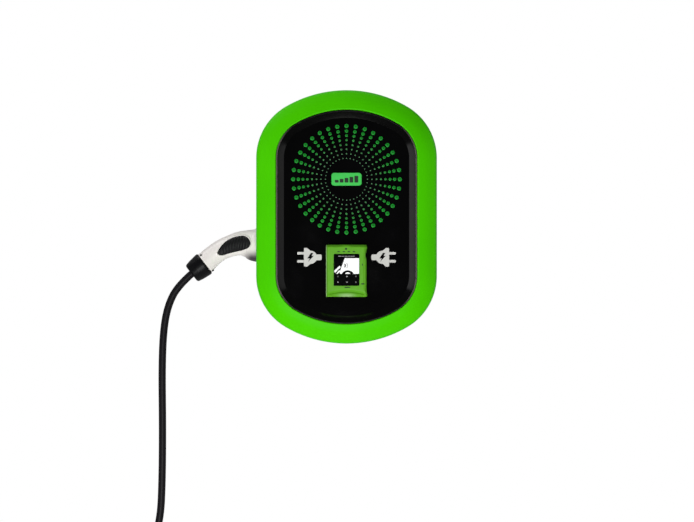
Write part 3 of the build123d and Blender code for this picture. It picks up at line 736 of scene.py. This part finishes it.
def terminal_body():
    """The housing's face as a grid, sunk under the display, with walls down to the fascia."""
    w, h = terminal_half
    gap = 0.4
    opening_x = (glass_high.x - glass_low.x) / 2 + gap
    opening_low = glass_low.z - terminal_z - gap
    opening_high = glass_high.z - terminal_z + gap
    wall = 0.12
    step = 0.9
    xs = grid_line(-w, w, step, -opening_x - wall, -opening_x, opening_x, opening_x + wall)
    zs = grid_line(-h, h, step, opening_low, opening_high, opening_high + wall,
                   opening_low - wall)
    recess = terminal_front - 3.0
    corner = 1.5
    notch_depth, notch_z, notch_reach = 1.9, 33.0, 6.0
    waist_depth = 1.1

    def inside(x, z):
        return abs(x) <= opening_x + 1e-6 and opening_low - 1e-6 <= z <= opening_high + 1e-6

    points, faces, index = [], [], {}
    for i, x in enumerate(xs):
        for j, z in enumerate(zs):
            depth = recess if inside(x, z) else terminal_depth(x, z)
            across, up = x, z
            # the outer corners are rounded off
            if abs(x) > w - corner and abs(z) > h - corner:
                off = Vector((abs(x) - (w - corner), abs(z) - (h - corner)))
                longest = max(off)
                if off.length > 1e-9:
                    off = off * (longest / off.length)
                across = math.copysign(w - corner + off.x, x)
                up = math.copysign(h - corner + off.y, z)
            # the right edge is drawn in below its upper corner
            waist = notch_depth * math.exp(-((z - notch_z) / notch_reach) ** 2)
            waist += waist_depth * ramp(z, -h + 5, -h + 15) * (1 - ramp(z, h - 12, h - 5))
            across -= waist * ramp(x, w - 7, w)
            index[i, j] = len(points)
            points.append((terminal_x + across, -depth, terminal_z + up))
    for i in range(len(xs) - 1):
        for j in range(len(zs) - 1):
            faces.append((index[i, j], index[i + 1, j], index[i + 1, j + 1], index[i, j + 1]))
    rim = ([(i, 0) for i in range(len(xs))] + [(len(xs) - 1, j) for j in range(1, len(zs))]
           + [(i, len(zs) - 1) for i in range(len(xs) - 2, -1, -1)]
           + [(0, j) for j in range(len(zs) - 2, 0, -1)])
    base = len(points)
    for i, j in rim:
        x, _, z = points[index[i, j]]
        points.append((x, -fascia_front, z))
    for n in range(len(rim)):
        m = (n + 1) % len(rim)
        faces.append((index[rim[n]], index[rim[m]], base + m, base + n))
    faces.append(tuple(base + n for n in range(len(rim))))
    made = piece("terminal_body", points, faces, terminal_green, slot="terminal_green",
                 replaced=["terminal_housing"])
    return sharpen(made, 30)


terminal_body()

screen_x = (glass_low.x + glass_high.x) / 2
screen_z = (glass_low.z + glass_high.z) / 2
half_screen = (glass_high.x - glass_low.x) / 2
screen_front = -glass_low.y


def on_screen(name, corners, radii, material, lift=0.08):
    """A lit shape on the display; corners are from the middle of the screen, in millimetres."""
    loop = [(screen_x + x, screen_z + z) for x, z in rounded(corners, radii, 5)]
    plate(name, loop, screen_front - 0.05, screen_front + lift, material, slot="screen_glass")


def disc(x, z, radius, start=0.0, end=360.0, inner=0.0, steps=28):
    """Corners of a disc or, with an inner radius, of an arc band. Angles in degrees."""
    def spot(reach, angle):
        return x + reach * math.cos(math.radians(angle)), z + reach * math.sin(math.radians(angle))
    sweep = end - start
    outer = [spot(radius, start + sweep * n / steps) for n in range(steps + (sweep < 360))]
    if inner:
        outer += [spot(inner, end - sweep * n / steps) for n in range(steps + 1)]
    return outer


def shape(name, corners, material, lift=0.08):
    on_screen(name, corners, [0] * len(corners), material, lift)


def segment(x, base, half, height, steps=24):
    """Corners of a circle's upper cap on a level base line."""
    radius = (half**2 + height**2) / (2 * height)
    rise = math.degrees(math.atan2(radius - height, half))
    middle = base + height - radius
    return [(x + radius * math.cos(math.radians(a)), middle + radius * math.sin(math.radians(a)))
            for a in (rise + (180 - 2 * rise) * n / steps for n in range(steps + 1))]


start = -17.6
header_low, header_high = 27.9, 29.3
for n, width in enumerate((7.0, 4.4, 6.2, 3.4, 9.0)):
    end = start + width
    shape(f"display_header_{n + 1}", [(start, header_low), (end, header_low), (end, header_high),
                                      (start, header_high)], screen_dim)
    start = end + 1.2
card_top, card_base, card_right = 24.6, -8.4, half_screen - 0.2
card_edge = [(-3.6, card_top), (card_right, card_top), (card_right, card_base),
             (-13.2, card_base), (-14.6, -5.4), (-8.0, 13.0)]
shape("display_card", card_edge, screen_white)
shape("display_finger_long", [(-26.4, -2.4), (-14.6, 8.8), (-12.2, 5.8), (-13.8, 3.2),
                              (-17.4, 0.8), (-23.8, -6.4)], screen_white)
shape("display_finger_short", [(-21.6, -8.2), (-15.2, -0.6), (-13.6, -2.6), (-18.6, -8.6)],
      screen_white)
# arc bands as radius, half width, half sweep in degrees and tone
waves = [(1.9, 0.5, 65, screen_dim), (4.2, 1.1, 60, screen_ink), (8.4, 0.7, 38, screen_dim)]
for n, (radius, half, reach, ink) in enumerate(waves):
    band = disc(-6.4, 8.9, radius + half, -reach, reach, radius - half, 10)
    shape(f"display_wave_{n + 1}", band, ink, 0.14)
shape("display_ring", segment(2.6, -8.5, 12.6, 7.6), screen_black, 0.14)
shape("display_button", segment(2.6, -8.4, 5.4, 3.5), screen_white, 0.18)
key_columns = (-18.0, 1.0, 19.8)
key_radius, key_turn = 1.7, 0.4
key_inks = (screen_faint, screen_dim, screen_faint, screen_dim, screen_dim, screen_faint)
for row, z in enumerate((-13.8, -25.8)):
    for column, x in enumerate(key_columns):
        key = row * len(key_columns) + column
        angles = [a + key_turn for a in circle_angles(4 + 2 * column)]
        shape(f"display_key_{key + 1}",
              [(x + key_radius * math.cos(a), z + key_radius * math.sin(a)) for a in angles],
              key_inks[key], 0.1)


def terminal_mark(name, loop, lift=0.12):
    plate(name, [(terminal_x + x, terminal_z + z) for x, z in loop], terminal_face - 0.5,
          terminal_face + lift, mark_dark, slot="terminal_green")


terminal_mark("terminal_sensor", disc(-1.0, 46.0, 2.1), 0.4)
for n, x in enumerate((-16.5, -5.5, 5.0, 15.5)):
    terminal_mark(f"status_lamp_{n + 1}", box_loop(5.4, 2.0, 0.9, x, 40.2))
terminal_mark("card_mark_upper", box_loop(1.8, 4.2, 0.8, 33.3, 13.0))
terminal_mark("card_mark_lower", box_loop(6.8, 2.6, 0.8, 34.4, -27.4))
terminal_mark("slot_mark", box_loop(12.4, 2.2, 1.0, 2.0, -34.6))


# ---------------------------------------------------------------- plug

plug_y = -60.0
# stations along the handle: middle x and z, and radius
handle_stations = [(-181.0, -59.4, 36.6), (-197.0, -58.4, 34.2), (-211.0, -56.0, 28.8),
                   (-226.0, -55.9, 25.4), (-243.0, -60.2, 23.1), (-262.0, -67.8, 21.8),
                   (-281.0, -80.4, 21.7), (-300.5, -98.5, 23.5)]


def curve_point(p0, p1, p2, p3, t):
    """A point at share t between p1 and p2, on the smooth curve through all four."""
    return 0.5 * (2 * p1 + (p2 - p0) * t + (2 * p0 - 5 * p1 + 4 * p2 - p3) * t**2
                  + (3 * p1 - p0 - 3 * p2 + p3) * t**3)


def along(stations, steps):
    """A smooth line through stations: each result holds middle, radius and direction."""
    padded = [Vector(stations[0]) * 2 - Vector(stations[1])]
    padded += [Vector(s) for s in stations]
    padded += [Vector(stations[-1]) * 2 - Vector(stations[-2])]
    line = []
    for i in range(1, len(padded) - 2):
        p0, p1, p2, p3 = padded[i - 1:i + 3]
        for n in range(steps + (i == len(padded) - 3)):
            t = n / steps
            here = curve_point(p0, p1, p2, p3, t)
            ahead = 0.5 * ((p2 - p0) + 2 * (2 * p0 - 5 * p1 + 4 * p2 - p3) * t
                           + 3 * (3 * p1 - p0 - 3 * p2 + p3) * t**2)
            way = Vector((ahead.x, ahead.y)).normalized()
            line.append((here.x, here.y, here.z, way))
    return line


handle_line = along(handle_stations, 14)


def handle_ring(x, z, radius, way, count=72):
    up = Vector((-way.y, way.x))
    return [(x + up.x * radius * math.cos(a), plug_y - radius * math.sin(a),
             z + up.y * radius * math.cos(a)) for a in circle_angles(count)]


points, faces = skin([handle_ring(*spot) for spot in handle_line])
sharpen(piece("handle_skin", points, faces, plug_white, "plug", "plug_white",
              replaced=["plug_handle"]), 50)


def handle_reach(x, z):
    """How far the handle's side stands from its middle plane at a place seen from the side."""
    best = 0.0
    for (x0, z0, r0, _), (x1, z1, r1, _) in zip(handle_line, handle_line[1:]):
        run = Vector((x1 - x0, z1 - z0))
        share = max(0.0, min(1.0, (Vector((x - x0, z - z0)).dot(run)) / run.length_squared))
        away = (Vector((x, z)) - Vector((x0, z0)) - run * share).length
        radius = r0 + (r1 - r0) * share
        if away < radius:
            best = max(best, math.sqrt(radius**2 - away**2))
    return best


grip_corners = [
    (-273.0, -75.4), (-263.4, -58.8), (-252.2, -48.9), (-240.4, -42.8), (-228.6, -39.8),
    (-217.8, -38.9), (-207.4, -44.6), (-202.2, -55.0), (-206.6, -64.6), (-218.0, -70.0),
    (-233.0, -73.4), (-249.0, -77.4), (-264.0, -81.2)]


def closed_curve(corners, steps=7):
    """A smooth closed line through corners."""
    count = len(corners)
    line = []
    for i in range(count):
        p0, p1, p2, p3 = (Vector(corners[(i + k) % count]) for k in (-1, 0, 1, 2))
        for n in range(steps):
            line.append(curve_point(p0, p1, p2, p3, n / steps))
    return line


grip_edge = closed_curve(grip_corners)
grip_middle = sum(grip_edge, Vector((0, 0))) / len(grip_edge)
pad_lift = 0.9
rib_pitch = 5.9
rib_height = 0.9
rib_slant = 0.12
bead_radius = 1.1


def grip_face(face):
    """The ribbed pad on one side of the handle: face is -1 for the front, 1 for the back."""
    rings = 40
    points, faces = [], []
    for k in range(rings + 1):
        share = k / rings
        for edge in grip_edge:
            x, z = grip_middle + (edge - grip_middle) * share
            lift = pad_lift * (1 - share**12)
            phase = (x - rib_slant * z) / rib_pitch * math.tau
            lift += rib_height * max(-0.45, math.sin(phase)) * (1 - share**10)
            points.append((x, plug_y + face * (handle_reach(x, z) + lift), z))
    count = len(grip_edge)
    for k in range(rings):
        for j in range(count):
            i = (j + 1) % count
            faces.append((k * count + j, k * count + i, (k + 1) * count + i, (k + 1) * count + j))
    return points, faces


def tube(path, radius, sides=10):
    """Points and faces of a closed round bead along a closed path of 3-D points."""
    rings = []
    for i, here in enumerate(path):
        way = (path[(i + 1) % len(path)] - path[i - 1]).normalized()
        side = way.cross(Vector((0, 1, 0))).normalized()
        up = side.cross(way)
        rings.append([here + side * radius * math.cos(a) + up * radius * math.sin(a)
                      for a in circle_angles(sides)])
    return skin(rings, closed_along=True)


for face, label in ((-1, "front"), (1, "back")):
    points, faces = grip_face(face)
    piece(f"grip_pad_{label}", points, faces, grip_black, "plug", "grip_rubber",
          replaced=["plug_grips"] if face < 0 else [])
    # the bead runs just outside the pad
    bead = [Vector((e.x, plug_y + face * (handle_reach(e.x, e.y) + 0.2), e.y)) for e in
            (grip_middle + (edge - grip_middle) * 1.03 for edge in grip_edge)]
    points, faces = tube(bead, bead_radius)
    piece(f"grip_lip_{label}", points, faces, plug_white, "plug", "plug_white")


def turned(name, start, way, profile, material, body, slot, count=64, **ride):
    """A solid of revolution: profile holds (distance along way, radius) pairs."""
    way = Vector(way).normalized()
    side = way.orthogonal().normalized()
    up = way.cross(side)
    rings = [[Vector(start) + way * d + (side * math.cos(a) + up * math.sin(a)) * max(r, 0.01)
              for a in circle_angles(count)] for d, r in profile]
    points, faces = skin(rings)
    return sharpen(piece(name, points, faces, material, body, slot, **ride), 40)


cap_angle = math.radians(38.0)
cap_way = (-math.cos(cap_angle), 0, -math.sin(cap_angle))
cap_start = (-300.5, plug_y, -98.5)
cap_corners = [(-0.4, 0), (-0.4, 25.7), (4.0, 26.1), (20.0, 24.3), (34.6, 21.3), (34.6, 0)]
cap_profile = rounded(cap_corners, [0, 1.3, 4, 20, 5.0, 0], 7, closed=False)
turned("cap_skin", cap_start, cap_way, cap_profile, cap_black, "plug", "grip_rubber",
       replaced=["plug_cap"])
band_corners = [(-1.4, 20), (-1.4, 24.1), (-0.2, 24.1), (-0.2, 20)]
band_profile = rounded(band_corners, [0, 0.5, 0.5, 0], 4, closed=False)
turned("handle_band", cap_start, cap_way, band_profile, lip_with_painted_highlight, "plug", "grip_rubber")
latch_corners = [(0, 0), (0, 2.3), (2.6, 2.3), (2.6, 0)]
latch_profile = rounded(latch_corners, [0, 0, 0.5, 0], 4, closed=False)
down_way = Vector((math.sin(cap_angle), 0, -math.cos(cap_angle)))
for label, side, forward in (("upper", -1, 0.61), ("lower", 1, 0.3)):
    out = down_way * side * math.sqrt(1 - forward**2) + Vector((0, -forward, 0))
    seat = Vector(cap_start) - Vector(cap_way) * 5.5 + out * 22.0
    turned(f"latch_{label}", seat, out, latch_profile, cap_black, "plug", "grip_rubber", count=20)


# ---------------------------------------------------------------- lead

lead_diameter = 16.0
lead_points = [
    (-326.8, -60, -119.1),
    (-355.5, -60, -144.5),
    (-376.5, -60, -183.0),
    (-387.0, -60, -234.0),
    (-390.5, -60.5, -318.0),
    (-389.0, -60, -446.0),
    (-390.0, -59.5, -560.0),
    (-393.5, -60, -636.0),
    (-409.0, -60, -690.0),
]
tail_points = [
    (-407.0, -107, -752.0),
    (-419.0, -126, -790.0),
    (-423.0, -133, -836.0),
]
coil_low, coil_high = (Vector(c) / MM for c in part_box("lead_coil"))
coil_middle = (coil_low + coil_high) / 2
layer_radii = (104.0, 88.0, 72.0)
first_angle = 154.0
last_angle = 127.0 + 7 * 360.0
change_start = 70.0
change_width = 60.0
points_a_turn = 20
layer_windings = 3
last_winding = 6
way_out = 30.0


def coil_place(index):
    """Radius and depth of a winding: three side by side in each layer, and back again."""
    layer, step = divmod(min(index, last_winding), layer_windings)
    across = step - 1 if layer % 2 else 1 - step
    return layer_radii[layer], coil_middle.y + across * lead_diameter


def coil_points():
    """The windings' control points, each winding moving over to the next place at the tie.

    The last winding leaves the coil towards the front."""
    result = []
    count = round((last_angle - first_angle) / 360 * points_a_turn)
    widen = 1 / math.cos(math.pi / points_a_turn) ** 1.5
    for n in range(count + 1):
        angle = first_angle + (last_angle - first_angle) * n / count
        passed, into = divmod(angle - change_start, 360)
        share = ramp(into, 0, change_width)
        after = coil_place(int(passed))
        before = coil_place(int(passed) - 1) if passed >= 1 else after
        radius = before[0] + (after[0] - before[0]) * share
        depth = before[1] + (after[1] - before[1]) * share
        if passed >= last_winding:
            change_end = change_start + last_winding * 360 + change_width
            depth -= way_out * ramp(angle, change_end, last_angle)
        turn = math.radians(angle)
        result.append((coil_middle.x + radius * widen * math.cos(turn), depth,
                       coil_middle.z + radius * widen * math.sin(turn)))
    return result


def cord_curve(name, route):
    data = bpy.data.curves.new(name, "CURVE")
    data.dimensions = "3D"
    data.bevel_depth = lead_diameter / 2 * MM
    data.bevel_resolution = 5
    data.resolution_u = 8
    data.use_fill_caps = True
    line = data.splines.new("NURBS")
    line.points.add(len(route) - 1)
    for point, place in zip(line.points, route):
        point.co = (*(c * MM for c in place), 1.0)
    line.order_u = 3
    line.use_endpoint_u = True
    made = bpy.data.objects.new(name, data)
    bpy.context.collection.objects.link(made)
    data.materials.append(sheath_black)
    return made


lead = cord_curve("lead", lead_points + coil_points() + tail_points)
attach(lead, "plug")
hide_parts("lead_hanging", "lead_coil", "lead_tail")


# ---------------------------------------------------------------- light, floor and camera


def area_light(name, place, aim, size, power):
    data = bpy.data.lights.new(name, "AREA")
    data.shape = "RECTANGLE"
    data.size, data.size_y = size
    data.energy = power
    made = bpy.data.objects.new(name, data)
    bpy.context.collection.objects.link(made)
    made.location = place
    made.rotation_mode = "QUATERNION"
    made.rotation_quaternion = (Vector(aim) - Vector(place)).to_track_quat("-Z", "Y")


def world_light():
    """A white surround to look at, which as light is dim in front and brighter behind."""
    world = bpy.data.worlds.new("studio")
    bpy.context.scene.world = world
    world.use_nodes = True
    tree = world.node_tree
    tree.nodes.clear()

    def node(kind, inputs=None):
        return add_node(tree, kind, {}, inputs).outputs

    way = node("ShaderNodeTexCoord")["Generated"]
    axes = node("ShaderNodeSeparateXYZ", {0: way})
    behind = node("ShaderNodeMapRange", {"Value": axes[1], "From Min": -0.15, "From Max": 0.35,
                                         "To Min": 0.03, "To Max": 0.5})[0]
    white = (1.0, 1.0, 1.0, 1.0)
    lighting = node("ShaderNodeBackground", {"Color": white, "Strength": behind})[0]
    seen = node("ShaderNodeBackground", {"Color": white})[0]
    camera_ray = node("ShaderNodeLightPath")["Is Camera Ray"]
    mix = node("ShaderNodeMixShader", {0: camera_ray, 1: lighting, 2: seen})[0]
    node("ShaderNodeOutputWorld", {0: mix})


world_light()
area_light("key", (-0.35, -2.5, -0.9), (0, -0.15, -0.05), (1.1, 1.1), 59)
area_light("top", (-1.1, -0.1, 1.3), (-0.2, -0.06, -0.06), (0.6, 0.6), 8)
area_light("sky", (0.1, 0.6, 3.2), (0, 0, -1), (1.8, 1.8), 25)
area_light("strip", (-2.2, -1.25, 0), (0, -0.15, 0), (0.5, 1.6), 2.2)
area_light("far_strip", (2.2, -1.25, 0), (0, -0.15, 0), (0.5, 1.6), 1.1)
area_light("side", (2.4, 0.3, 0.6), (0, -0.1, 0), (1.4, 1.4), 7)

floor_radius = 0.75
work = bmesh.new()
bmesh.ops.create_circle(work, cap_ends=True, segments=96, radius=floor_radius)
floor_mesh = bpy.data.meshes.new("floor")
work.to_mesh(floor_mesh)
work.free()
floor = bpy.data.objects.new("floor", floor_mesh)
floor.location = (0, 0, cad_low[2] - 0.02)
bpy.context.collection.objects.link(floor)
pale_floor = moulded("pale_floor", srgb(250, 250, 248), 0.7, variation=0.01, glow=0.15)
floor_mesh.materials.append(pale_floor)

image_width = 694
view_width = image_width * 2.1 * MM
camera_distance = 14.0
sensor_width = 36.0
aim_x, aim_y, aim_z = 0.00105, -0.165, -0.0928
camera_data = bpy.data.cameras.new("camera")
camera_data.sensor_width = sensor_width
camera_data.lens = sensor_width * camera_distance / view_width
camera_data.clip_end = 100.0
camera = bpy.data.objects.new("camera", camera_data)
camera.location = (aim_x, aim_y - camera_distance, aim_z)
camera.rotation_euler = (math.pi / 2, 0, 0)
bpy.context.collection.objects.link(camera)
bpy.context.scene.camera = camera
bpy.context.scene.view_settings.view_transform = "Standard"
